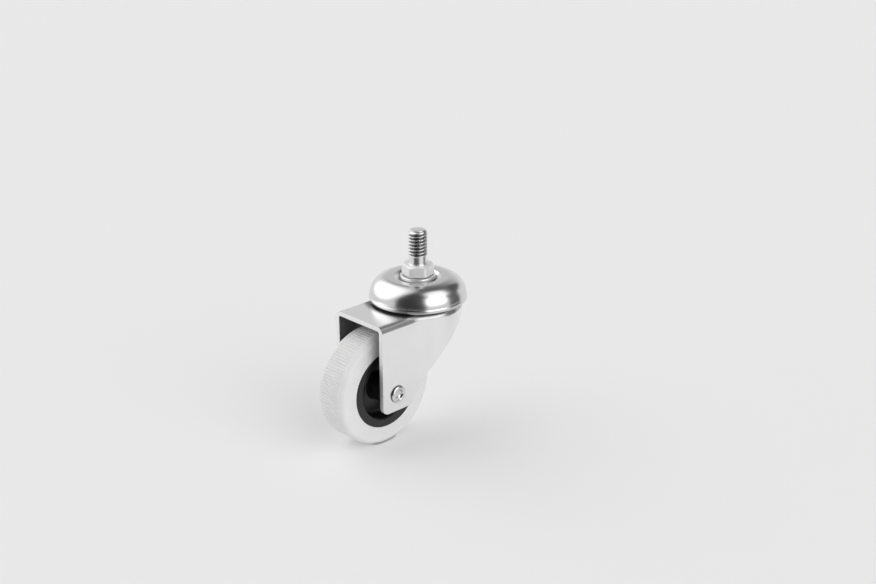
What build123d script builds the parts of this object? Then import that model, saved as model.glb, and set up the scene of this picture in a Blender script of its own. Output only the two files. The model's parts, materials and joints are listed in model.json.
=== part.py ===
"""Swivel castor with a threaded stem: every piece is a solid of its own, in millimetres.

The swivel axis is Z. The origin is where it meets the top face of the hexagon collar, the
shoulder that pulls up against the furniture. The wheel trails towards -X, on an axle along Y.
"""

import os
from itertools import product
from math import pi, radians, sin, sqrt, tan

from build123d import *

os.makedirs("parts", exist_ok=True)

# Stem bolt: 5/16 inch over the thread crests, a plain neck and a hexagon collar.
thread_diameter = 7.94
stem_length = 14.5
tip_chamfer = 0.9
neck_diameter = 7.2
neck_length = 3.2
collar_across_flats = 12.0
collar_height = 4.75
collar_face_diameter = 11.4
collar_chamfer_angle = 30.0
collar_turn = 15.0

# Its lower end: a spigot through the washer and dome, a swaged shoulder and the race's pin.
spigot_diameter = 10.0
swage_diameter = 12.6
swage_height = 0.9
pin_diameter = 9.0
pin_end_diameter = 7.6
rivet_head_diameter = 11.4
rivet_head_height = 1.7
slip_clearance = 0.05

washer_diameter = 14.6
washer_thickness = 1.5

# Two rows of balls, each touching its races at 45 degrees to the axis.
upper_ball_diameter = 4.76
upper_ball_count = 19
upper_ball_spacing = 0.23
lower_ball_diameter = 3.97
lower_ball_count = 16
lower_ball_spacing = 0.3
ball_clearance = 0.05
race_flange_margin = 1.2
race_flange_thickness = 1.9
race_flange_gap = 0.5

# Dome: one pressed cup over the upper balls, with a shallow recess round the collar.
dome_sheet = 1.5
dome_height = 9.4
dome_shoulder_radius = 7.7
recess_floor_diameter = 15.8
recess_mouth_diameter = 18.6
recess_depth = 1.05
recess_fillet = 0.8
rim_clearance = 0.8

# Fork: one pressed sheet with a raised boss for the races.
fork_sheet = 1.9
fork_inside_width = 24.0
bend_radius = 2.7
skirt_inset = 2.05
skirt_depth = 4.0
skirt_run = 5.75
flare_radius = 14.0
boss_height = 4.7
pin_hole_clearance = 1.0
leg_below_axle = 7.2
leg_front = 7.8
leg_heel = 8.1
leg_edge_radius = 80.0
leg_front_corner = 2.8
leg_heel_corner = 4.0

# Wheel: a moulded hub and the tyre round it, trailing behind the swivel axis.
trail = 24.7
tyre_clearance = 4.7
wheel_diameter = 48.0
tyre_width = 14.9
tyre_shoulder_radius = 2.4
hub_diameter = 32.6
hub_width = 15.7
rim_wall = 3.7
rim_outer_chamfer = 0.4
rim_inner_round = 1.0
web_thickness = 2.4
web_chamfer = 1.5
wheel_boss_diameter = 11.2
wheel_boss_clearance = 0.3
key_width = 5.0
key_height = 1.4

# Axle: a rivet through a spacer sleeve.
rivet_diameter = 6.0
sleeve_diameter = 8.0
running_clearance = 0.05
axle_head_diameter = 10.0
axle_head_height = 1.9
rolled_end_diameter = 7.3
rolled_end_height = 1.0
rolled_end_round = 0.5
rolled_end_bore = 3.2
rolled_end_depth = 5.0

# Levels along the swivel axis.
collar_bottom = -collar_height
recess_floor = collar_bottom - washer_thickness
crown = recess_floor + recess_depth
rim = crown - dome_height
fork_top = rim - rim_clearance
boss_top = fork_top + boss_height
axle_level = fork_top - fork_sheet - tyre_clearance - wheel_diameter / 2
foot = axle_level - leg_below_axle
fork_reach = trail + leg_front

# A full row of balls sets its own radius, and the upper row sets the dome's. The dome's
# shoulder is a torus, kept as the radius and level of its section's centre.
slant = sqrt(2)
upper_radius = (upper_ball_diameter + upper_ball_spacing) / 2 / sin(pi / upper_ball_count)
lower_radius = (lower_ball_diameter + lower_ball_spacing) / 2 / sin(pi / lower_ball_count)
upper_gap = upper_ball_diameter / 2 + ball_clearance
lower_gap = lower_ball_diameter / 2 + ball_clearance
ball_offset = (dome_shoulder_radius - dome_sheet - upper_gap) / slant
shoulder = (upper_radius - ball_offset, crown - dome_shoulder_radius)
upper_level = shoulder[1] + ball_offset
dome_radius = shoulder[0] + dome_shoulder_radius
skirt_radius = dome_radius - skirt_inset

# A race face at 45 degrees is a cone on which radius plus level is the same everywhere, so it
# is kept as that sum. The lower row hangs where it touches the inside of the fork's boss.
boss_cone = upper_radius + upper_level - slant * upper_gap
boss_inner_cone = boss_cone - slant * fork_sheet
lower_level = boss_inner_cone - slant * lower_gap - lower_radius
race_cone = lower_radius + lower_level - slant * lower_gap
race_top = lower_level - lower_ball_diameter / 4
race_flange = lower_level - lower_ball_diameter / 2 - race_flange_gap
race_bottom = race_flange - race_flange_thickness


def turned(outline, plane=Plane.XZ, axis=Axis.Z):
    """A solid of revolution from the straight-sided outline of one side of its section."""
    return revolve(plane * make_face(Polyline(*outline, close=True)), axis)


def make_stem_bolt():
    """Thread blank, neck, hexagon collar, spigot, pin and riveted end in one piece."""
    crest, root = thread_diameter / 2, neck_diameter / 2
    stem = turned([
        (0, collar_bottom), (0, stem_length), (crest - tip_chamfer, stem_length),
        (crest, stem_length - tip_chamfer), (crest, neck_length + crest - root),
        (root, neck_length), (root, collar_bottom),
    ])
    corner, face = collar_across_flats / sqrt(3), collar_face_diameter / 2
    chamfer_fall = (corner - face) * tan(radians(collar_chamfer_angle))
    hexagon = RegularPolygon(collar_across_flats / 2, 6, major_radius=False, rotation=collar_turn)
    collar = extrude(hexagon, -collar_height) & turned([
        (0, collar_bottom), (0, 0), (face, 0), (corner, -chamfer_fall), (corner, collar_bottom),
    ])
    spigot, swage = spigot_diameter / 2, swage_diameter / 2
    pin, end, head = pin_diameter / 2, pin_end_diameter / 2, rivet_head_diameter / 2
    swage_top = recess_floor - dome_sheet
    shank = turned([
        (0, collar_bottom), (spigot, collar_bottom), (spigot, swage_top), (swage, swage_top),
        (swage, swage_top - swage_height), (pin, swage_top - swage_height), (pin, race_top),
        (end, race_top), (end, race_bottom), (head, race_bottom),
        (head, race_bottom - rivet_head_height / 2), (head / 2, race_bottom - rivet_head_height),
        (0, race_bottom - rivet_head_height),
    ])
    return stem + collar + shank


def make_washer():
    """The plain ring between the hexagon collar and the dome."""
    bore, outer = spigot_diameter / 2 + slip_clearance, washer_diameter / 2
    low, high = recess_floor, collar_bottom
    return turned([(bore, low), (outer, low), (outer, high), (bore, high)])


def make_dome():
    """The pressed cup: recess floor, crown, round shoulder and a short upright lip."""
    hole, outer, inner = spigot_diameter / 2 + slip_clearance, dome_radius, dome_radius - dome_sheet
    floor_edge, mouth = recess_floor_diameter / 2, recess_mouth_diameter / 2
    wall = sqrt((mouth - floor_edge) ** 2 + recess_depth**2)
    under = dome_sheet * (wall - recess_depth) / (mouth - floor_edge)
    centre, bend = shoulder
    with BuildPart() as cup:
        with BuildSketch(Plane.XZ):
            with BuildLine():
                FilletPolyline(
                    (hole, recess_floor), (floor_edge, recess_floor), (mouth, crown), (centre, crown),
                    radius=recess_fillet,
                )
                CenterArc((centre, bend), dome_shoulder_radius, 90, -90)
                Polyline((outer, bend), (outer, rim), (inner, rim), (inner, bend))
                CenterArc((centre, bend), dome_shoulder_radius - dome_sheet, 0, 90)
                Polyline(
                    (centre, crown - dome_sheet), (mouth + under, crown - dome_sheet),
                    (floor_edge + under, recess_floor - dome_sheet), (hole, recess_floor - dome_sheet),
                    (hole, recess_floor),
                )
            make_face()
        revolve(axis=Axis.Z)
    return cup.part


def make_lower_race():
    """The cone under the lower balls, with a flange, clamped on the end of the pin."""
    bore, flange = pin_end_diameter / 2 + slip_clearance, lower_radius + race_flange_margin
    return turned([
        (bore, race_bottom), (flange, race_bottom), (flange, race_flange),
        (race_cone - race_flange, race_flange), (race_cone - race_top, race_top), (bore, race_top),
    ])


def make_ball_row(name, diameter, count, radius, level):
    """Write a row of loose balls. A ball is kept to 26 flats with their corners on its sphere."""
    corner = diameter / 2 / sqrt(5 + 2 * sqrt(2))
    points = [
        (x, y, z) for x, y, z in product((-1 - sqrt(2), -1, 1, 1 + sqrt(2)), repeat=3)
        if sorted(map(abs, (x, y, z)))[1] == 1 < max(map(abs, (x, y, z)))
    ]
    ball = ConvexPolyhedron([Vector(*point) * corner for point in points])
    for index, place in enumerate(PolarLocations(radius, count)):
        export_step(Pos(0, 0, level) * place * ball, f"parts/{name}_{index + 1:02d}.step")


def fork_plan():
    """The fork from above: straight legs that flare out into the round skirt."""
    half = fork_inside_width / 2 + fork_sheet
    plan = Pos(-fork_reach / 2, 0) * Rectangle(fork_reach, 2 * half) + Circle(skirt_radius)
    corner = -sqrt(skirt_radius**2 - half**2)
    return fillet([v for v in plan.vertices() if abs(v.X - corner) < slip_clearance], flare_radius)


def fork_side():
    """The fork from the side: square front, rounded foot and the curved edge up to the skirt."""
    skirt_bottom, behind = fork_top - skirt_depth, 2 * skirt_radius
    with BuildSketch(Plane.XZ) as side:
        with BuildLine():
            heel, end = (leg_heel - trail, foot), (skirt_radius - skirt_run, skirt_bottom)
            edge = RadiusArc(heel, end, leg_edge_radius)
            Polyline(
                edge @ 1, (behind, skirt_bottom), (behind, fork_top), (-fork_reach, fork_top),
                (-fork_reach, foot), edge @ 0,
            )
        make_face()
        front_corner, heel_corner = side.vertices().group_by(Axis.Y)[0].sort_by(Axis.X)
        fillet(front_corner, leg_front_corner)
        fillet(heel_corner, leg_heel_corner)
    return side.sketch


def make_fork():
    """The pressed fork: a bent shell cut to its side outline, with a raised boss and three holes."""
    plan = fork_plan()
    shell = Pos(0, 0, fork_top) * extrude(plan, foot)
    top = [e for e in shell.faces().sort_by(Axis.Z)[-1].edges() if e.center().X > -fork_reach + 1]
    shell = fillet(top, bend_radius)
    inside = offset(plan, -fork_sheet, kind=Kind.INTERSECTION)
    inside += Pos(-fork_reach, 0) * Rectangle(4 * fork_sheet, fork_inside_width)
    core = Pos(0, 0, fork_top - fork_sheet) * extrude(inside, foot)
    top = [e for e in core.faces().sort_by(Axis.Z)[-1].edges() if e.center().X > -fork_reach]
    core = fillet(top, bend_radius - fork_sheet)
    shell = (shell - core) & extrude(fork_side(), 2 * skirt_radius, both=True)
    outer, hole = upper_radius, pin_diameter / 2 + pin_hole_clearance
    inner, under = outer - fork_sheet, boss_top - fork_sheet
    shell -= Pos(0, 0, fork_top) * Cylinder(inner, 3 * fork_sheet)
    shell += turned([
        (hole, boss_top), (boss_cone - boss_top, boss_top), (outer, boss_cone - outer),
        (outer, fork_top - fork_sheet), (inner, fork_top - fork_sheet), (inner, boss_inner_cone - inner),
        (boss_inner_cone - under, under), (hole, under),
    ])
    axle_hole = Rot(90, 0, 0) * Cylinder(rivet_diameter / 2 + slip_clearance, 2 * fork_inside_width)
    return shell - Pos(-trail, 0, axle_level) * axle_hole


def on_axle(solid):
    return Pos(-trail, 0, axle_level) * solid


def make_axle_rivet():
    """The rivet: domed head on one leg, a rolled tubular end on the other."""
    leg, shank, head = fork_inside_width / 2 + fork_sheet, rivet_diameter / 2, axle_head_diameter / 2
    bore, roll = rolled_end_bore / 2, rolled_end_diameter / 2
    top, end = leg + axle_head_height, -leg - rolled_end_height
    bottom = end + rolled_end_depth
    with BuildPart() as rivet:
        with BuildSketch(Plane.XY):
            with BuildLine():
                TangentArc((0, top), (head, leg), tangent=(1, 0))
                Polyline(
                    (head, leg), (shank, leg), (shank, -leg), (roll, -leg), (roll, end + rolled_end_round),
                    (roll - rolled_end_round, end), ((roll + bore) / 2, end), (bore, -leg), (bore, bottom),
                    (0, bottom + bore / 2), (0, top),
                )
            make_face()
        revolve(axis=Axis.Y)
    return on_axle(rivet.part)


def make_axle_sleeve():
    bore, outer, end = rivet_diameter / 2 + slip_clearance, sleeve_diameter / 2, fork_inside_width / 2
    return on_axle(turned([(bore, -end), (outer, -end), (outer, end), (bore, end)], Plane.XY, Axis.Y))


def make_wheel_hub():
    """The moulded hub: rim ring with a key under the tyre, thin web and a boss on each side."""
    bore, boss = sleeve_diameter / 2 + running_clearance, wheel_boss_diameter / 2
    end, face = fork_inside_width / 2 - wheel_boss_clearance, hub_width / 2
    rim_outer, rim_inner = hub_diameter / 2, hub_diameter / 2 - rim_wall
    web, key, ease = web_thickness / 2, key_width / 2, rim_inner_round * (1 - sqrt(0.5))
    half = turned([
        (rim_outer, 0), (rim_outer + key_height, 0), (rim_outer + key_height, key), (rim_outer, key),
        (rim_outer, face - rim_outer_chamfer), (rim_outer - rim_outer_chamfer, face),
        (rim_inner + rim_inner_round, face), (rim_inner + ease, face - ease),
        (rim_inner, face - rim_inner_round), (rim_inner, web + web_chamfer), (rim_inner - web_chamfer, web),
        (boss, web), (boss, end), (bore, end), (bore, 0),
    ], Plane.XY, Axis.Y)
    return on_axle(half + mirror(half, Plane.XZ))


def make_tyre():
    """The tyre: flat sides, round shoulders and a flat tread, moulded over the hub and its key."""
    outer, seat, half = wheel_diameter / 2, hub_diameter / 2, tyre_width / 2
    groove, key = seat + key_height, key_width / 2
    outline = [(outer, half), (seat, half), (seat, key), (groove, key), (groove, 0), (outer, 0)]
    section = make_face(Polyline(*outline, close=True))
    corner = section.vertices().sort_by(Axis.X)[-2:].sort_by(Axis.Y)[-1]
    side = revolve(fillet(corner, tyre_shoulder_radius), Axis.Y)
    return on_axle(side + mirror(side, Plane.XZ))


if __name__ == "__main__":
    export_step(make_stem_bolt(), "parts/stem_bolt.step")
    export_step(make_washer(), "parts/collar_washer.step")
    export_step(make_dome(), "parts/dome_cup.step")
    export_step(make_lower_race(), "parts/lower_race.step")
    export_step(make_fork(), "parts/fork.step")
    export_step(make_axle_rivet(), "parts/axle_rivet.step")
    export_step(make_axle_sleeve(), "parts/axle_sleeve.step")
    export_step(make_wheel_hub(), "parts/wheel_hub.step")
    export_step(make_tyre(), "parts/tyre.step")
    make_ball_row("upper_ball", upper_ball_diameter, upper_ball_count, upper_radius, upper_level)
    make_ball_row("lower_ball", lower_ball_diameter, lower_ball_count, lower_radius, lower_level)
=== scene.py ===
"""A swivel castor with a threaded stem: its pieces as they look, in a plain pale studio.

The pieces follow the order in which the castor is put together, from the stem down to the tyre.
"""

import json
import math

import bmesh
import bpy
import numpy as np
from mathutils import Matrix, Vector

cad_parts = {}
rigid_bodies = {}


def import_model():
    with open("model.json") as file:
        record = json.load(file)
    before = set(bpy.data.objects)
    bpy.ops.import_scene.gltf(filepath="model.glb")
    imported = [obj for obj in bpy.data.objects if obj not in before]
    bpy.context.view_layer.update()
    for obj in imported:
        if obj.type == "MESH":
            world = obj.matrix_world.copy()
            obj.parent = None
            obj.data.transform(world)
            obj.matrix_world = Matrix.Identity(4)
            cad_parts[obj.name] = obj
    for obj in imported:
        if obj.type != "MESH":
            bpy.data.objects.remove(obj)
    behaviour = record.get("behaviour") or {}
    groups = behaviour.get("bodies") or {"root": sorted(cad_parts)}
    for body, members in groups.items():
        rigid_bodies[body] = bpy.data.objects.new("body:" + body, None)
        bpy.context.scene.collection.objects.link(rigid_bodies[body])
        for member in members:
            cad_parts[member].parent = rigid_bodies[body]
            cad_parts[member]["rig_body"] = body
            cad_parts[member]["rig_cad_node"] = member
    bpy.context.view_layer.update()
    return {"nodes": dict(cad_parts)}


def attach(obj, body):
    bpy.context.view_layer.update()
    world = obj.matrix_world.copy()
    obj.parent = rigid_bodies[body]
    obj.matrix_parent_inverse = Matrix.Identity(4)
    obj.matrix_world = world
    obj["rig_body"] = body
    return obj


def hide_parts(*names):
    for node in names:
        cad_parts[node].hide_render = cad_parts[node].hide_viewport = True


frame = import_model()


# ---- Stem bolt ----------------------------------------------------------------------------
# One turned steel piece: a rolled coarse thread, a plain neck, a hexagon collar for the
# spanner and, under the dome, a spigot and a pin whose end is riveted over the lower race.
# It is bright plated, so it shines on the crests, and its thread's roots are darkened with painted shade.
MM = 0.001  # in metres: the sizes of every piece below are in millimetres
crest_radius = 3.97
thread_pitch = 1.411
thread_depth = 0.86
crest_flat_share, flank_share = 0.07, 0.30
root_rounding = 0.35
run_out_turns = 0.8
stem_top = 14.5
tip_chamfer, tip_slope, tip_crown = 0.9, 0.95, 0.06
neck_radius, neck_length = 3.6, 3.2
hexagon_apothem = 6.0
hexagon_turn = math.radians(15.0)
eased_corner_radius, corner_sharpness = 6.72, 34
lower_chamfer_side, lower_chamfer_rise = 0.75, 0.36
lower_edge_side, lower_edge_rise = 0.10, 0.45
collar_height, collar_face_radius = 4.75, 5.7
chamfer_slope = math.tan(math.radians(30.0))
spigot_radius, swage_radius, swage_height = 5.0, 6.3, 0.9
pin_radius, pin_end_radius = 4.5, 3.8
under_dome, race_top, race_bottom = -7.75, -16.013, -19.406
rivet_head_radius, rivet_head_height, rivet_head_edge = 5.7, 1.7, 0.85


def surface_object(name, points, close_rows=False):
    """A mesh from a grid of points: rows run along the profile and columns go once round.
    Columns always join up again; rows join up where the profile is a closed loop. Rows that
    shrink to a point on the axis are merged into one vertex."""
    rows, columns = points.shape[:2]
    here = np.arange(rows * columns).reshape(rows, columns)
    below = np.roll(here, -1, 0) if close_rows else here[1:]
    above = here if close_rows else here[:-1]
    faces = np.stack([above, below, np.roll(below, -1, 1), np.roll(above, -1, 1)], -1).reshape(-1, 4)
    mesh = bpy.data.meshes.new(name)
    mesh.from_pydata((points.reshape(-1, 3) * MM).tolist(), [], faces.tolist())
    edit = bmesh.new()
    edit.from_mesh(mesh)
    bmesh.ops.remove_doubles(edit, verts=edit.verts, dist=1e-8)
    bmesh.ops.recalc_face_normals(edit, faces=edit.faces)
    edit.to_mesh(mesh)
    edit.free()
    mesh.polygons.foreach_set("use_smooth", np.ones(len(mesh.polygons), bool))
    piece = bpy.data.objects.new(name, mesh)
    bpy.context.scene.collection.objects.link(piece)
    return piece


def eased(corners, steps=5):
    """A profile with rounded corners. Each corner is (radius from axis, level, rounding); the
    arc of that rounding touches both neighbouring edges."""
    corners = np.array(corners, float)
    points = []
    for index, (r, z, ease) in enumerate(corners):
        here = np.array([r, z])
        if ease <= 0:
            points.append(here)
            continue
        back = corners[index - 1, :2] - here
        on = corners[(index + 1) % len(corners), :2] - here
        back, on = back / np.linalg.norm(back), on / np.linalg.norm(on)
        half = math.acos(np.clip(back @ on, -1, 1)) / 2
        reach = ease / math.tan(half)
        centre = here + (back + on) / np.linalg.norm(back + on) * ease / math.sin(half)
        start, end = here + back * reach - centre, here + on * reach - centre
        span = math.acos(np.clip(start @ end / ease**2, -1, 1))
        share = np.linspace(0, 1, steps)[:, None]
        arc = np.sin((1 - share) * span) * start + np.sin(share * span) * end
        points.extend(centre + arc / math.sin(span))
    return np.array(points)


def turned(profile, columns=160, along="Z", centre=(0.0, 0.0, 0.0)):
    """Each point of the profile (radius, level) is carried once round the axis."""
    angle = np.linspace(0, 2 * np.pi, columns, endpoint=False)
    radius, level = profile[:, 0, None], profile[:, 1, None]
    level = np.broadcast_to(level, (len(profile), columns))
    across, up = radius * np.cos(angle), radius * np.sin(angle)
    order = (across, up, level) if along == "Z" else (across, level, up)
    return np.stack(order, -1) + np.array(centre)


def weigh_normals(piece):
    """Flat faces keep flat shading beside their rounded edges."""
    modifier = piece.modifiers.new("flat faces rule", "WEIGHTED_NORMAL")
    modifier.weight = 100
    modifier.keep_sharp = True


def smooth_step(share):
    """A share from 0 to 1 that leaves and arrives level: three of its squares less two cubes."""
    return share * share * (3 - 2 * share)


def thread_radius(angle, level):
    """A 60 degree thread, right-handed: the phase along the helix sets a trapezoid groove, which
    fades out over the last turn above the neck and is cut back by the tip's chamfer."""
    phase = (level / thread_pitch - angle / (2 * np.pi)) % 1.0
    groove = np.clip((0.5 - np.abs(phase - 0.5) - crest_flat_share) / flank_share, 0, 1)
    groove = smooth_step(groove) * root_rounding + groove * (1 - root_rounding)
    run_out = smooth_step(np.clip((level - neck_length) / (run_out_turns * thread_pitch), 0, 1))
    threaded = crest_radius - thread_depth * groove
    radius = neck_radius + (threaded - neck_radius) * run_out
    return np.minimum(radius, crest_radius - tip_chamfer + (stem_top - level) * tip_slope)


def stem_bolt_points(columns=192):
    """Rows run from the tip to the riveted end. The thread's radius follows its helix, the
    collar's is a hexagon with eased corners, and every other row is round."""
    angle = np.linspace(0, 2 * np.pi, columns, endpoint=False)
    from_corner = (angle - hexagon_turn) % (np.pi / 3) - np.pi / 6
    flat = hexagon_apothem / np.cos(from_corner)
    hexagon = (flat**-corner_sharpness + eased_corner_radius**-corner_sharpness) ** (-1 / corner_sharpness)
    rows = []

    def ring(radius, level):
        """One row: its radius and level, each a single number or one for every column."""
        rows.append((np.broadcast_to(radius, angle.shape), np.broadcast_to(level, angle.shape)))

    tip_radius = crest_radius - tip_chamfer
    for share in (0.0, 0.5, 0.9, 1.0):
        ring(tip_radius * share, stem_top - tip_crown * share**6)
    for level in np.linspace(stem_top - 2 * tip_crown, neck_length, 150):
        ring(thread_radius(angle, level), level)
    for radius, level in eased([
        (neck_radius, neck_length - 0.1, 0), (neck_radius, 0, 0.35), (collar_face_radius, 0, 0),
    ], 6):
        ring(radius, level)
    for share in (0.08, 0.3, 0.6, 0.9, 1.0):
        radius = collar_face_radius + (hexagon - collar_face_radius) * share
        ring(radius, -(radius - collar_face_radius) * chamfer_slope - 0.02 * share)
    edge = -(hexagon - collar_face_radius) * chamfer_slope
    for share in (0.03, 0.1, 0.5, 0.9, 0.97):
        ring(hexagon, edge + (-collar_height + lower_edge_rise - edge) * share)
    ring(hexagon - lower_edge_side, -collar_height + lower_chamfer_rise)
    ring(hexagon - lower_chamfer_side, -collar_height)
    for radius, level in eased([
        (spigot_radius, -collar_height, 0), (spigot_radius, under_dome, 0),
        (swage_radius, under_dome, 0.3), (swage_radius, under_dome - swage_height, 0.3),
        (pin_radius, under_dome - swage_height, 0), (pin_radius, race_top, 0),
        (pin_end_radius, race_top, 0), (pin_end_radius, race_bottom, 0),
        (rivet_head_radius, race_bottom, 0), (rivet_head_radius, race_bottom - rivet_head_edge, 0.5),
        (rivet_head_radius / 2, race_bottom - rivet_head_height, 0.8),
        (0, race_bottom - rivet_head_height, 0),
    ], 6):
        ring(radius, level)
    radius, level = (np.array(part) for part in zip(*rows))
    return np.stack([radius * np.cos(angle), radius * np.sin(angle), level], -1)


def group_socket(group, name, kind, way="INPUT", value=None):
    """One named socket of a shared effect."""
    socket = group.interface.new_socket(name, in_out=way, socket_type=f"NodeSocket{kind}")
    if value is not None:
        socket.default_value = value


def plating_effect():
    """Shared effect of plated or ground steel: cloudy roughness, a faint grain and a few
    handling marks. It puts out a roughness, a shade to multiply the colour by and a normal."""
    group = bpy.data.node_groups.new("plated steel surface", "ShaderNodeTree")
    for name, kind, value in (
        ("Roughness", "Float", 0.2), ("Cloudiness", "Float", 0.05), ("Grain Depth", "Float", 0.02),
        ("Grain Scale", "Float", 900.0), ("Stretch", "Vector", (1, 1, 1)), ("Darkening", "Float", 0.06),
    ):
        group_socket(group, name, kind, value=value)
    group_socket(group, "Roughness", "Float", "OUTPUT")
    group_socket(group, "Shade", "Float", "OUTPUT")
    group_socket(group, "Normal", "Vector", "OUTPUT")
    add, link = group.nodes.new, group.links.new
    inlet, outlet = add("NodeGroupInput"), add("NodeGroupOutput")
    place, stretch = add("ShaderNodeTexCoord"), add("ShaderNodeVectorMath")
    stretch.operation = "MULTIPLY"
    link(place.outputs["Object"], stretch.inputs[0])
    link(inlet.outputs["Stretch"], stretch.inputs[1])
    cloud = add("ShaderNodeTexNoise")
    cloud.inputs["Scale"].default_value, cloud.inputs["Detail"].default_value = 140.0, 4.0
    link(place.outputs["Object"], cloud.inputs["Vector"])
    grain = add("ShaderNodeTexNoise")
    grain.inputs["Detail"].default_value = 5.0
    link(stretch.outputs[0], grain.inputs["Vector"])
    link(inlet.outputs["Grain Scale"], grain.inputs["Scale"])
    spread = add("ShaderNodeMath")
    spread.operation = "MULTIPLY_ADD"
    centred = add("ShaderNodeMath")
    centred.operation = "SUBTRACT"
    centred.inputs[1].default_value = 0.5
    link(cloud.outputs["Fac"], centred.inputs[0])
    doubled = add("ShaderNodeMath")
    doubled.operation = "MULTIPLY"
    doubled.inputs[1].default_value = 2.0
    link(centred.outputs[0], doubled.inputs[0])
    link(doubled.outputs[0], spread.inputs[0])
    link(inlet.outputs["Cloudiness"], spread.inputs[1])
    link(inlet.outputs["Roughness"], spread.inputs[2])
    link(spread.outputs[0], outlet.inputs["Roughness"])
    darker = add("ShaderNodeMath")
    darker.operation = "MULTIPLY"
    link(cloud.outputs["Fac"], darker.inputs[0])
    link(inlet.outputs["Darkening"], darker.inputs[1])
    shade = add("ShaderNodeMath")
    shade.operation = "SUBTRACT"
    shade.inputs[0].default_value = 1.0
    link(darker.outputs[0], shade.inputs[1])
    link(shade.outputs[0], outlet.inputs["Shade"])
    bump = add("ShaderNodeBump")
    bump.inputs["Distance"].default_value = 0.0001
    link(grain.outputs["Fac"], bump.inputs["Height"])
    link(inlet.outputs["Grain Depth"], bump.inputs["Strength"])
    link(bump.outputs["Normal"], outlet.inputs["Normal"])
    return group


plated_surface = plating_effect()


def surfaced(name, colour, metallic, **surface):
    """A material that takes its roughness, shade and grain from the shared effect, at the values
    given for the effect's sockets."""
    material = bpy.data.materials.new(name)
    material.use_nodes = True
    add, link = material.node_tree.nodes.new, material.node_tree.links.new
    shader = material.node_tree.nodes["Principled BSDF"]
    shader.inputs["Metallic"].default_value = metallic
    effect = add("ShaderNodeGroup")
    effect.node_tree = plated_surface
    for socket, value in surface.items():
        effect.inputs[socket.replace("_", " ").title()].default_value = value
    tint = add("ShaderNodeMix")
    tint.data_type, tint.blend_type = "RGBA", "MULTIPLY"
    tint.inputs["Factor"].default_value = 1.0
    tint.inputs["A"].default_value = (*colour, 1)
    link(effect.outputs["Shade"], tint.inputs["B"])
    link(tint.outputs["Result"], shader.inputs["Base Color"])
    link(effect.outputs["Roughness"], shader.inputs["Roughness"])
    link(effect.outputs["Normal"], shader.inputs["Normal"])
    return material


def steel(
    name, grey, roughness, cloudiness=0.05, grain=0.02, grain_scale=900.0, stretch=(1, 1, 1), darkening=0.06,
    metallic=1.0,
):
    """A bare or plated steel. The matt salts of zinc plating take a little of the metallic shine
    away."""
    return surfaced(
        name, (grey, grey, grey), metallic, roughness=roughness, cloudiness=cloudiness, grain_depth=grain,
        grain_scale=grain_scale, stretch=stretch, darkening=darkening,
    )


def dress(piece, material):
    """The piece wears this material alone."""
    piece.data.materials.clear()
    piece.data.materials.append(material)


def painted_shade_effect():
    """Shared effect of painted shade: the colour times a shade that falls from one, where
    the depth is nought, to the given shade, where the depth is one."""
    group = bpy.data.node_groups.new("painted shade places", "ShaderNodeTree")
    group_socket(group, "Color", "Color", value=(1, 1, 1, 1))
    group_socket(group, "Depth", "Float", value=0.0)
    group_socket(group, "Shade", "Float", value=0.3)
    group_socket(group, "Color", "Color", "OUTPUT")
    nodes, link = group.nodes, group.links.new
    inlet, outlet = nodes.new("NodeGroupInput"), nodes.new("NodeGroupOutput")
    fall, shaded = nodes.new("ShaderNodeMapRange"), nodes.new("ShaderNodeMix")
    fall.inputs["To Min"].default_value = 1.0
    link(inlet.outputs["Depth"], fall.inputs["Value"])
    link(inlet.outputs["Shade"], fall.inputs["To Max"])
    shaded.data_type, shaded.blend_type = "RGBA", "MULTIPLY"
    shaded.inputs["Factor"].default_value = 1.0
    link(inlet.outputs["Color"], shaded.inputs["A"])
    link(fall.outputs["Result"], shaded.inputs["B"])
    link(shaded.outputs["Result"], outlet.inputs["Color"])
    return group


painted_shade_group = painted_shade_effect()


def darken(material, depth, shade):
    """The material's colour falls to the given shade where the depth's socket reaches one."""
    link = material.node_tree.links.new
    base_colour = material.node_tree.nodes["Principled BSDF"].inputs["Base Color"]
    effect = material.node_tree.nodes.new("ShaderNodeGroup")
    effect.node_tree = painted_shade_group
    effect.inputs["Shade"].default_value = shade
    link(base_colour.links[0].from_socket, effect.inputs["Color"])
    link(depth, effect.inputs["Depth"])
    link(effect.outputs["Color"], base_colour)


def paint_shade_by_attribute(material, attribute, shade):
    """The depth comes from the mesh's own attribute: painted shade in the thread's roots, in the
    dome's recess and round the rivet's end."""
    depth = material.node_tree.nodes.new("ShaderNodeAttribute")
    depth.attribute_name = attribute
    darken(material, depth.outputs["Fac"], shade)


def vertex_places(piece):
    """Each vertex's place in millimetres, as an array for each axis."""
    places = np.empty(3 * len(piece.data.vertices))
    piece.data.vertices.foreach_get("co", places)
    return places.reshape(-1, 3).T / MM


def write_attribute(piece, name, values):
    """A value for each vertex, held between nought and one, for the material to read."""
    piece.data.attributes.new(name, "FLOAT", "POINT").data.foreach_set("value", np.clip(values, 0, 1))


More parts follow.
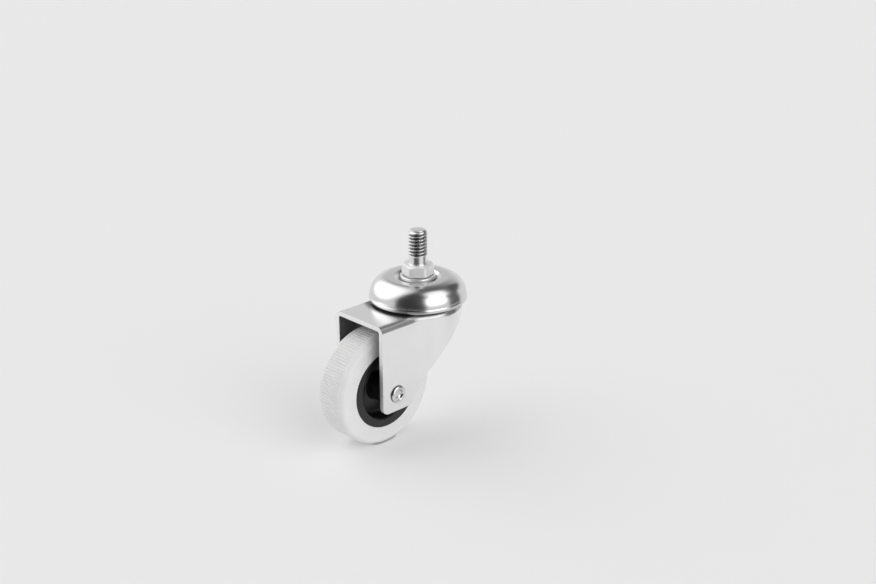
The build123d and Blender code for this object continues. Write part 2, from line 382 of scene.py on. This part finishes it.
bright_plating = steel("bright zinc plating", 0.82, 0.28, 0.06, 0.05, 1400.0)
# Painted shade: the plating's colour darkens in the thread's roots, read from the mesh's root attribute.
paint_shade_by_attribute(bright_plating, "root", 0.30)
upright_marks = (1, 1, 0.12)
collar_plating = steel("zinc plated hexagon", 0.88, 0.42, 0.10, 0.5, 900.0, upright_marks, metallic=0.35)
washer_plating = steel("tumbled zinc plating", 0.86, 0.34, 0.06, 0.06, 1400.0, metallic=0.7)
stem = surface_object("stem_bolt_threaded", stem_bolt_points())
stem.data.set_sharp_from_angle(angle=math.radians(40))
dress(stem, bright_plating)
stem.data.materials.append(collar_plating)
x, y, level = vertex_places(stem)
# Painted shade: the root attribute deepens from just under the crest into each groove and stays off the
# thread's ends.
unshaded_end, unshaded_crest, root_shade_edge = 0.3, 0.2, 0.5
on_thread = (level > neck_length + unshaded_end) & (level < stem_top - tip_chamfer - unshaded_end)
write_attribute(stem, "root", (crest_radius - unshaded_crest - np.hypot(x, y)) / root_shade_edge * on_thread)
face_level = np.array([face.center.z for face in stem.data.polygons]) / MM
collar_faces_below = 0.05
stem.data.polygons.foreach_set("material_index", (face_level < collar_faces_below).astype(int))
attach(stem, "head")
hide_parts("stem_bolt")


# ---- Washer -------------------------------------------------------------------------------
# A plain punched steel ring between the hexagon and the dome, plated like the stem. Its outer
# corners are rounded by the tumbling that deburrs it.
washer_radius, washer_hole, washer_thickness = 7.3, 5.05, 1.5
washer_bottom = -collar_height - washer_thickness
washer_outline = [
    (washer_hole, washer_bottom, 0), (washer_radius, washer_bottom, 0.2),
    (washer_radius, -collar_height, 0.35), (washer_hole, -collar_height, 0),
]
washer = surface_object("collar_washer_ring", turned(eased(washer_outline), 128), close_rows=True)
weigh_normals(washer)
dress(washer, washer_plating)
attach(washer, "head")
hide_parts("collar_washer")


# ---- Dome cup -----------------------------------------------------------------------------
# A deep-drawn steel cup that covers the ball races: a shallow recess round the collar, a full
# round shoulder and a short upright lip. It is polished and bright plated, the glossiest
# piece of the castor, with the faint ripple that polishing leaves.
dome_sheet = 1.5
dome_radius, shoulder_radius = 20.193, 7.7
wall_radius, lip_level = 19.95, -13.25
recess_floor, crown, rim = -6.25, -5.2, -14.6
dome_hole, recess_radius, mouth_radius = 5.05, 7.9, 9.5
inner_recess_radius, inner_mouth_radius = recess_radius + 0.6, mouth_radius + 0.4
lip_half_rise = 0.2
dome_outline = [
    (dome_hole, recess_floor, 0), (recess_radius, recess_floor, 1.1), (mouth_radius, crown, 1.9),
    (wall_radius, crown, shoulder_radius), (wall_radius, lip_level + lip_half_rise, 0.3),
    (dome_radius, lip_level - lip_half_rise, 0.25), (dome_radius, rim, 0.22),
    (dome_radius - dome_sheet, rim, 0.3),
    (dome_radius - dome_sheet, crown - dome_sheet, shoulder_radius - dome_sheet),
    (inner_mouth_radius, crown - dome_sheet, 0.5), (inner_recess_radius, recess_floor - dome_sheet, 0.5),
    (dome_hole, recess_floor - dome_sheet, 0),
]
dome = surface_object("dome_cup_polished", turned(eased(dome_outline, 24), 256), close_rows=True)
weigh_normals(dome)
dome_plating = steel("polished bright plating", 0.75, 0.22, 0.03, 0.02, 700.0, darkening=0.05)
dress(dome, dome_plating)
# Painted shade: the dome's colour darkens in its recess round the washer.
paint_shade_by_attribute(dome_plating, "recess_shade", 0.25)
x, y, level = vertex_places(dome)
recess_shade_radius, recess_shade_edge = 8.2, 0.5
write_attribute(dome, "recess_shade", (recess_shade_radius - np.hypot(x, y)) / recess_shade_edge * (level > recess_floor - 0.3))
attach(dome, "head")
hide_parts("dome_cup")


# ---- Ball rows ----------------------------------------------------------------------------
# Hardened steel balls, ground bright and lightly greased, loose in two full rows without a
# cage. They roll between the dome, the fork's boss and the lower race.
def ball_row_points(count, diameter, radius, level, columns=20, rows=12):
    """Each ball is a sphere by latitude and longitude, set round the axis at equal angles."""
    latitude = np.linspace(np.pi / 2, -np.pi / 2, rows)[:, None]
    longitude = np.linspace(0, 2 * np.pi, columns, endpoint=False)
    ball = diameter / 2 * np.stack([
        np.cos(latitude) * np.cos(longitude), np.cos(latitude) * np.sin(longitude),
        np.broadcast_to(np.sin(latitude), (rows, columns)),
    ], -1)
    turn = 2 * np.pi * np.arange(count) / count
    centres = np.stack([radius * np.cos(turn), radius * np.sin(turn), np.full(count, level)], -1)
    return ball[None] + centres[:, None, None]


ball_steel = steel("ground ball steel", 0.72, 0.12, 0.03, 0.01)
for row_name, count, diameter, radius, level in (
    ("upper_ball", 19, 4.76, 15.158, -10.234), ("lower_ball", 16, 3.97, 10.944, -15.021),
):
    for index, points in enumerate(ball_row_points(count, diameter, radius, level)):
        node = f"{row_name}_{index + 1:02d}"
        ball = surface_object(f"{node}_ground", points)
        dress(ball, ball_steel)
        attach(ball, f"{row_name}_row")
        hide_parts(node)


# ---- Lower race ---------------------------------------------------------------------------
# A hardened steel cone under the lower balls, held by the riveted end of the pin. It is seen
# only from below, dull and slightly oily.
race_steel = steel("hardened race steel", 0.50, 0.36, 0.1, 0.08, 1200.0, darkening=0.25)
race_hole, flange_radius, flange_top, cone_foot, cone_head = 3.85, 12.144, -17.506, 10.55, 9.058
race_outline = [
    (race_hole, race_bottom, 0), (flange_radius, race_bottom, 0.35), (flange_radius, flange_top, 0.3),
    (cone_foot, flange_top, 0.2), (cone_head, race_top, 0.2), (race_hole, race_top, 0),
]
race = surface_object("lower_race_turned", turned(eased(race_outline), 128), close_rows=True)
weigh_normals(race)
dress(race, race_steel)
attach(race, "head")
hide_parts("lower_race")


# ---- Fork ---------------------------------------------------------------------------------
# One pressed steel sheet: flat top with a raised boss, two legs folded down and a skirt that
# flares round behind. The cut edges are sheared bright and the faces are satin plated; the inside faces carry
# a darker copy of the plating, which is painted shade.
fork_plating = steel("satin plating", 0.90, 0.24, 0.04, 0.06, 1600.0, darkening=0.05, metallic=0.82)
# Painted shade: the faces inside the fork, towards the wheel, get a darker copy of the plating.
inside_shade_plating = steel("plating inside with painted shade", 0.34, 0.34, 0.08, 0.08, 1600.0, darkening=0.2)
rim_shade_radius, rim_shade_edge = 20.9, 2.8
bend_top, bend_bottom = -15.4, -18.1
top_edge = (bend_top - 0.3, bend_top - 0.1)
bend_upper_edge = (bend_top - 0.05, bend_top - 0.3)
bend_lower_edge = (bend_bottom + 0.1, bend_bottom + 0.7)


def rise_between(material, value, start, end, smooth=False):
    """A mask that rises from nought to one as the value, in metres, goes from the start to the end,
    in millimetres."""
    rise = material.node_tree.nodes.new("ShaderNodeMapRange")
    rise.interpolation_type = "SMOOTHSTEP" if smooth else "LINEAR"
    rise.inputs["From Min"].default_value, rise.inputs["From Max"].default_value = start * MM, end * MM
    material.node_tree.links.new(value, rise.inputs["Value"])
    return rise.outputs["Result"]


def both_masks(material, first, second):
    """The product of two masks."""
    product = material.node_tree.nodes.new("ShaderNodeMath")
    product.operation = "MULTIPLY"
    material.node_tree.links.new(first, product.inputs[0])
    material.node_tree.links.new(second, product.inputs[1])
    return product.outputs[0]


def darken_top_and_bends(material, rim_shade, bend_shade):
    """Painted shade darkens the flat top where the dome's rim covers it: fully inside the shade's radius,
    fading over its edge. The bends get painted shade too, so the colour falls between the flat
    top's level and the legs'."""
    nodes, link = material.node_tree.nodes, material.node_tree.links.new
    place, parts, across, radius = (nodes.new(f"ShaderNode{kind}") for kind in (
        "TexCoord", "SeparateXYZ", "CombineXYZ", "VectorMath"))
    radius.operation = "LENGTH"
    link(place.outputs["Object"], parts.inputs[0])
    link(parts.outputs["X"], across.inputs["X"])
    link(parts.outputs["Y"], across.inputs["Y"])
    link(across.outputs[0], radius.inputs[0])
    from_axis, level = radius.outputs["Value"], parts.outputs["Z"]
    near_dome = rise_between(material, from_axis, rim_shade_radius + rim_shade_edge, rim_shade_radius, True)
    on_top = rise_between(material, level, *top_edge)
    darken(material, both_masks(material, near_dome, on_top), rim_shade)
    above_legs = rise_between(material, level, *bend_lower_edge)
    below_top = rise_between(material, level, *bend_upper_edge)
    darken(material, both_masks(material, above_legs, below_top), bend_shade)


# Painted shade on the fork's top under the dome's rim and over its bends.
darken_top_and_bends(fork_plating, rim_shade=0.18, bend_shade=0.55)
edge_steel = steel("bright sheared edge", 0.95, 0.45, 0.04, 0.10, 1600.0, darkening=0.02)
facing_limit, upright_limit = 0.35, 0.5
middle_line_end = -40.0


def sheet_side(normal, place):
    """Which side of the bent sheet a face is on: 0 outside, 1 inside, 2 a cut edge. Outward is
    away from the line between the wheel and the swivel axis, or up on the flat top."""
    along = min(max(place.x, middle_line_end), 0.0)
    outward = Vector((place.x - along, place.y, 0)).normalized()
    facing = normal.dot(outward)
    if place.z > bend_bottom + 0.2 and abs(normal.z) > upright_limit:
        facing = normal.z
    elif place.z > bend_bottom and normal.z > facing_limit:
        facing = max(facing, normal.z)
    return 0 if facing > facing_limit else 1 if facing < -facing_limit else 2


def welded_copy(node, name, edge_round, sharp_angle=30.0):
    """The pressed sheet's own solid, its triangles joined and its flat faces made whole, with
    the cut edges rounded off by a small bevel."""
    piece = frame["nodes"][node].copy()
    piece.data = piece.data.copy()
    piece.name = piece.data.name = name
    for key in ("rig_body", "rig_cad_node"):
        if key in piece:
            del piece[key]
    piece.parent = None
    bpy.context.scene.collection.objects.link(piece)
    edit = bmesh.new()
    edit.from_mesh(piece.data)
    bmesh.ops.remove_doubles(edit, verts=edit.verts, dist=1e-7)
    bmesh.ops.dissolve_limit(
        edit, angle_limit=math.radians(0.6), use_dissolve_boundaries=False, verts=edit.verts,
        edges=edit.edges,
    )
    piece.data.materials.clear()
    for material in (fork_plating, inside_shade_plating, edge_steel):
        piece.data.materials.append(material)
    for face in edit.faces:
        face.material_index = sheet_side(face.normal, face.calc_center_median() / MM)
    edit.to_mesh(piece.data)
    edit.free()
    piece.data.polygons.foreach_set("use_smooth", np.ones(len(piece.data.polygons), bool))
    bevel = piece.modifiers.new("sheared edge", "BEVEL")
    bevel.width, bevel.segments = edge_round * MM, 3
    bevel.limit_method, bevel.angle_limit = "ANGLE", math.radians(sharp_angle)
    weigh_normals(piece)
    return piece


fork = welded_copy("fork", "fork_pressed", 0.18)
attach(fork, "fork")
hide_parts("fork")


# ---- Axle rivet and sleeve ----------------------------------------------------------------
# A semi-tubular steel rivet through both legs: a domed head on one side and, on the other, a
# hollow end rolled outward over the leg. The sleeve round it sets the gap between the legs.
axle_centre = (-24.7, 0.0, -46.0)
leg_face = 13.9
shank_radius, head_radius, head_height = 3.0, 5.0, 1.9
rolled_radius, rolled_height = 3.65, 1.0
hollow_mouth_radius, hollow_radius, hollow_floor_radius, hollow_floor_depth = 2.3, 1.75, 1.45, 0.55
shank_outline = [
    (shank_radius, leg_face, 0), (shank_radius, -leg_face, 0), (rolled_radius, -leg_face, 0),
    (rolled_radius, -leg_face - rolled_height, 0.88),
    (hollow_mouth_radius, -leg_face - rolled_height, 0.45), (hollow_radius, -leg_face - 0.1, 0.3),
    (hollow_floor_radius, -leg_face + 0.1, 0.2), (0, -leg_face + hollow_floor_depth, 0),
]


def domed_head(radius, height, level, steps=14):
    """The head's profile is an arc from the axis to its edge: a cap of the sphere that passes
    through both."""
    sphere = (radius**2 + height**2) / (2 * height)
    angle = np.linspace(0, math.asin(radius / sphere), steps)
    return np.stack([sphere * np.sin(angle), level + height - sphere + sphere * np.cos(angle)], -1)


rivet_profile = np.concatenate([domed_head(head_radius, head_height, leg_face), eased(shank_outline, 8)])
rivet = surface_object("axle_rivet_rolled", turned(rivet_profile, 96, "Y", axle_centre))
rivet.data.set_sharp_from_angle(angle=math.radians(40))
axle_plating = steel("rivet plating", 0.74, 0.25, 0.06, 0.04)
dress(rivet, axle_plating)
# Painted shade: the rolled end's colour darkens in the corner where it meets the leg.
paint_shade_by_attribute(axle_plating, "corner", 0.12)
x, y, z = vertex_places(rivet)
from_axle = np.hypot(x - axle_centre[0], z - axle_centre[2])
corner_shade_depth, corner_shade_edge = 0.62, 0.15
on_rolled_end = (from_axle > shank_radius) & (y < 0)
write_attribute(rivet, "corner", (y + leg_face + corner_shade_depth) / corner_shade_edge * on_rolled_end)
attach(rivet, "fork")
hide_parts("axle_rivet")

sleeve_bore, sleeve_radius, sleeve_half_length = 3.05, 4.0, 12.0
sleeve_outline = [
    (sleeve_bore, -sleeve_half_length, 0), (sleeve_radius, -sleeve_half_length, 0.15),
    (sleeve_radius, sleeve_half_length, 0.15), (sleeve_bore, sleeve_half_length, 0),
]
sleeve_points = turned(eased(sleeve_outline), 96, "Y", axle_centre)
sleeve = surface_object("axle_sleeve_tube", sleeve_points, close_rows=True)
weigh_normals(sleeve)
dress(sleeve, axle_plating)
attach(sleeve, "fork")
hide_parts("axle_sleeve")


# ---- Wheel hub ----------------------------------------------------------------------------
# Injection-moulded black plastic: a rim ring under the tyre, a thin web in a deep recess and
# a boss on each side. Its moulded faces are smooth with a slight gloss and a fine texture.
def moulded(name, grey, roughness, texture_depth, texture_scale):
    """Moulded plastic or rubber: a dielectric gloss over a fine moulded texture."""
    return surfaced(
        name, (grey, grey, grey), 0.0, roughness=roughness, cloudiness=0.08, grain_depth=texture_depth,
        grain_scale=texture_scale, darkening=0.1,
    )


key_radius, key_half_width = 17.7, 2.5
hub_radius, hub_half_width, rim_inside_radius = 16.3, 7.85, 12.6
web_half_thickness = 1.2
boss_radius, boss_half_length, hub_bore = 5.6, 11.7, 4.05
mould_draft = 0.15
hub_side = [
    (key_radius, 0, 0), (key_radius, key_half_width, 0), (hub_radius, key_half_width, 0),
    (hub_radius, hub_half_width, 0.35), (rim_inside_radius, hub_half_width, 1.0),
    (rim_inside_radius - mould_draft, web_half_thickness, 1.4),
    (boss_radius + mould_draft, web_half_thickness, 0.8),
    (boss_radius, boss_half_length, 0.3), (hub_bore, boss_half_length, 0.2), (hub_bore, 0, 0),
]
hub_outline = hub_side + [(r, -y, ease) for r, y, ease in reversed(hub_side)]
hub_points = turned(eased(hub_outline, 7), 192, "Y", axle_centre)
hub = surface_object("wheel_hub_moulded", hub_points, close_rows=True)
weigh_normals(hub)
dress(hub, moulded("black moulded plastic", 0.011, 0.34, 0.15, 2500.0))
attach(hub, "wheel")
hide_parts("wheel_hub")


# ---- Tyre ---------------------------------------------------------------------------------
# Pale grey rubber moulded over the hub: flat sides, round shoulders, and a tread with fine
# ribs straight across it that stop short of the shoulders.
tyre_radius, tyre_half_width, tyre_shoulder, tread_half_width = 24.0, 7.45, 2.4, 5.05
rib_count, rib_depth, rib_half_length, rib_fade = 120, 0.28, 4.9, 0.3
rib_half_share, groove_flank_share = 0.25, 0.12


def tyre_points(columns_per_rib=8):
    """The tyre's section carried round the axle. On the tread the radius drops into a groove
    between each pair of ribs, by a smooth pulse of the angle that fades at the ribs' ends."""
    rib_end = np.linspace(rib_half_length - rib_fade, tread_half_width, 6)
    across = np.concatenate([-rib_end[::-1], np.linspace(-4.2, 4.2, 7), rib_end])
    side = eased([
        (hub_radius, tyre_half_width, 0.0), (tyre_radius, tyre_half_width, tyre_shoulder),
        (tyre_radius, tread_half_width, 0),
    ], 12)[:-1]
    profile = np.concatenate([
        [(key_radius, -key_half_width), (hub_radius, -key_half_width)], side * (1, -1),
        np.stack([np.full(len(across), tyre_radius), across], -1), side[::-1],
        [(hub_radius, key_half_width), (key_radius, key_half_width)],
    ])
    columns = rib_count * columns_per_rib
    angle = np.linspace(0, 2 * np.pi, columns, endpoint=False)
    phase = (angle * rib_count / (2 * np.pi)) % 1.0
    pulse = smooth_step(np.clip((np.abs(phase - 0.5) - rib_half_share) / groove_flank_share, 0, 1))
    on_tread = (profile[:, 0] == tyre_radius) & (np.abs(profile[:, 1]) < rib_half_length + 0.2)
    fade = np.clip((rib_half_length + 0.05 - np.abs(profile[:, 1])) / rib_fade, 0, 1) * on_tread
    radius = profile[:, 0, None] - rib_depth * fade[:, None] * pulse
    level = np.broadcast_to(profile[:, 1, None], radius.shape)
    return np.stack([radius * np.cos(angle), level, radius * np.sin(angle)], -1) + np.array(axle_centre)


tyre = surface_object("tyre_ribbed", tyre_points(), close_rows=True)
tyre.data.set_sharp_from_angle(angle=math.radians(50))
dress(tyre, moulded("pale grey rubber", 0.80, 0.55, 0.25, 1800.0))
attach(tyre, "wheel")
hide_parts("tyre")


# ---- Studio -------------------------------------------------------------------------------
# A pale seamless floor, large soft lights to the left, to the right and above, a pale horizon
# under a greyer ceiling, and dark cards that only the bright metal shows. Sizes are in metres.
floor_reach, floor_level = 6.0, -0.07
paper_grey, paper_glow, paper_lift = 0.87, 0.88, 0.28
contact_gap, contact_shade = 0.0010, 0.30


def paper_material():
    """Pale paper. The camera, glossy surfaces and clear ones see it lifted a little towards its
    own plain colour, which keeps its shadows soft. Where the tyre all but touches it, an ambient occlusion
    node paints a contact shadow into its colour."""
    material = bpy.data.materials.new("pale paper floor")
    material.use_nodes = True
    nodes, link = material.node_tree.nodes, material.node_tree.links.new
    paper = nodes["Principled BSDF"]
    paper.inputs["Roughness"].default_value = 0.9
    paper.inputs["Specular IOR Level"].default_value = 0.1
    # Painted shadow: ambient occlusion greys the paper's colour and glow where the tyre all but touches it.
    nearness, contact, shadow_painted = (nodes.new(f"ShaderNode{kind}") for kind in (
        "AmbientOcclusion", "MapRange", "Mix"))
    nearness.samples, nearness.inputs["Distance"].default_value = 16, contact_gap
    link(nearness.outputs["AO"], contact.inputs["Value"])
    contact.inputs["To Min"].default_value, contact.inputs["To Max"].default_value = contact_shade, 1.0
    shadow_painted.data_type, shadow_painted.blend_type = "RGBA", "MULTIPLY"
    shadow_painted.inputs["Factor"].default_value = 1.0
    shadow_painted.inputs["A"].default_value = (paper_grey, paper_grey, paper_grey, 1)
    link(contact.outputs["Result"], shadow_painted.inputs["B"])
    link(shadow_painted.outputs["Result"], paper.inputs["Base Color"])
    seen, any_gloss, any_view, lift, glow, blend = (nodes.new(f"ShaderNode{kind}") for kind in (
        "LightPath", "Math", "Math", "Math", "Emission", "MixShader"))
    any_gloss.operation = any_view.operation = "MAXIMUM"
    link(seen.outputs["Is Camera Ray"], any_gloss.inputs[0])
    link(seen.outputs["Is Glossy Ray"], any_gloss.inputs[1])
    link(any_gloss.outputs[0], any_view.inputs[0])
    link(seen.outputs["Is Transmission Ray"], any_view.inputs[1])
    lift.operation, lift.inputs[1].default_value = "MULTIPLY", paper_lift
    link(any_view.outputs[0], lift.inputs[0])
    glow.inputs["Strength"].default_value = paper_glow
    link(contact.outputs["Result"], glow.inputs["Color"])
    link(lift.outputs[0], blend.inputs["Fac"])
    link(paper.outputs["BSDF"], blend.inputs[1])
    link(glow.outputs["Emission"], blend.inputs[2])
    link(blend.outputs["Shader"], nodes["Material Output"].inputs["Surface"])
    return material


floor_mesh = bpy.data.meshes.new("studio_floor")
floor_signs = ((-1, -1), (1, -1), (1, 1), (-1, 1))
floor_corners = [(x * floor_reach, y * floor_reach, floor_level) for x, y in floor_signs]
floor_mesh.from_pydata(floor_corners, [], [(0, 1, 2, 3)])
floor = bpy.data.objects.new("studio_floor", floor_mesh)
bpy.context.scene.collection.objects.link(floor)
dress(floor, paper_material())


def toward(azimuth, elevation):
    """The unit direction at an azimuth from +X and an elevation, both in degrees."""
    azimuth, elevation = math.radians(azimuth), math.radians(elevation)
    return Vector((
        math.cos(azimuth) * math.cos(elevation), math.sin(azimuth) * math.cos(elevation), math.sin(elevation),
    ))


def soft_light(name, azimuth, elevation, spread, radiance):
    """A distant round soft light that fills a cone of the given spread, in degrees, with an even
    radiance: its strength is pi times the radiance times the squared sine of the half spread."""
    lamp = bpy.data.lights.new(name, "SUN")
    lamp.angle = math.radians(spread)
    lamp.energy = math.pi * radiance * math.sin(math.radians(spread / 2)) ** 2
    holder = bpy.data.objects.new(name, lamp)
    bpy.context.scene.collection.objects.link(holder)
    holder.rotation_euler = toward(azimuth, elevation).to_track_quat("Z", "Y").to_euler()


# Three cones, one inside the next, give each light its soft edge.
for light_name, azimuth, elevation, half_width, radiance in (
    ("left_soft_light", 114, 42, 37, 1.3), ("right_soft_light", -88, 25, 27, 1.5),
    ("upper_soft_light", -62, 56, 21, 1.2),
):
    for edge, share in enumerate((0.84, 1.0, 1.16)):
        soft_light(f"{light_name}_{edge + 1}", azimuth, elevation, 2 * half_width * share, radiance / 3)


over_floor = 0.001


def felt_card(
    name, shade, azimuth, half_width, lowest, highest, distance=0.9, inner=0.14, soft=8.0, columns=48,
    rows=36,
):
    """A dark sheet that only reflections see: a patch of a sphere round the castor between two
    azimuths and two elevations. Where it would pass under the floor it lies on the floor and
    runs in to the inner radius. Its cover fades over the soft band, in degrees, at its edges."""
    reach_aside = half_width + soft / 2
    aside = np.linspace(-reach_aside, reach_aside, columns)
    turn = np.radians(azimuth + aside)
    elevation = np.linspace(max(lowest - soft / 2, 0), highest + soft / 2, rows)
    cover = (highest + soft / 2 - elevation) / soft
    rise = np.radians(elevation)
    reach, level = distance * np.cos(rise), distance * np.sin(rise)
    if lowest < 0:
        reach = np.insert(reach, 0, (inner, distance))
        level = np.insert(level, 0, (floor_level + over_floor,) * 2)
        cover = np.insert(cover, 0, (1, 1))
    else:
        cover = np.minimum(cover, (elevation - lowest + soft / 2) / soft)
    cover = np.clip(cover, 0, 1)[:, None] * np.clip((reach_aside - np.abs(aside)) / soft, 0, 1)
    points = np.stack([
        reach[:, None] * np.cos(turn), reach[:, None] * np.sin(turn),
        np.broadcast_to(level[:, None], (len(level), columns)),
    ], -1)
    here = np.arange(len(level) * columns).reshape(-1, columns)
    faces = np.stack([here[:-1, :-1], here[1:, :-1], here[1:, 1:], here[:-1, 1:]], -1).reshape(-1, 4)
    mesh = bpy.data.meshes.new(name)
    mesh.from_pydata(points.reshape(-1, 3).tolist(), [], faces.tolist())
    card = bpy.data.objects.new(name, mesh)
    bpy.context.scene.collection.objects.link(card)
    write_attribute(card, "cover", smooth_step(cover).ravel())
    card.visible_camera = card.visible_diffuse = card.visible_shadow = False
    material = bpy.data.materials.new(f"{name}_felt")
    material.use_nodes = True
    felt = material.node_tree.nodes["Principled BSDF"]
    felt.inputs["Base Color"].default_value = (shade, shade, shade, 1)
    felt.inputs["Roughness"].default_value = 1.0
    felt.inputs["Specular IOR Level"].default_value = 0.0
    mask = material.node_tree.nodes.new("ShaderNodeAttribute")
    mask.attribute_name = "cover"
    material.node_tree.links.new(mask.outputs["Fac"], felt.inputs["Alpha"])
    dress(card, material)


felt_card("front_black_card", 0.05, -151, 36, -20, 80)
felt_card("side_grey_card", 0.12, -40, 18, -20, 30, inner=0.165)
felt_card("upper_grey_card", 0.10, -12, 22, 18, 48)

world = bpy.data.worlds.new("soft room")
bpy.context.scene.world = world
world.use_nodes = True
add, link = world.node_tree.nodes.new, world.node_tree.links.new
background = world.node_tree.nodes["Background"]
horizon_strength, ceiling_strength = 0.83, 0.12
horizon_elevation, ceiling_elevation = 5, 66
direction, height, room = add("ShaderNodeTexCoord"), add("ShaderNodeSeparateXYZ"), add("ShaderNodeMapRange")
link(direction.outputs["Generated"], height.inputs[0])
link(height.outputs["Z"], room.inputs["Value"])
room.interpolation_type = "SMOOTHSTEP"
room.inputs["From Min"].default_value = math.sin(math.radians(horizon_elevation))
room.inputs["From Max"].default_value = math.sin(math.radians(ceiling_elevation))
room.inputs["To Min"].default_value, room.inputs["To Max"].default_value = horizon_strength, ceiling_strength
link(room.outputs["Result"], background.inputs["Strength"])
background.inputs["Color"].default_value = (1, 1, 1, 1)

camera = bpy.data.cameras.new("studio camera")
camera.lens, camera.sensor_width = 50.15, 36.0
camera.clip_start, camera.clip_end = 0.01, 50.0
look_down, look_round = 21.23, -44.46
viewer = bpy.data.objects.new("studio camera", camera)
bpy.context.scene.collection.objects.link(viewer)
viewer.location = (-0.32218, -0.34006, 0.16926)
viewer.rotation_euler = (math.radians(90 - look_down), 0.0, math.radians(look_round))
bpy.context.scene.camera = viewer
bpy.context.scene.view_settings.view_transform = "Standard"
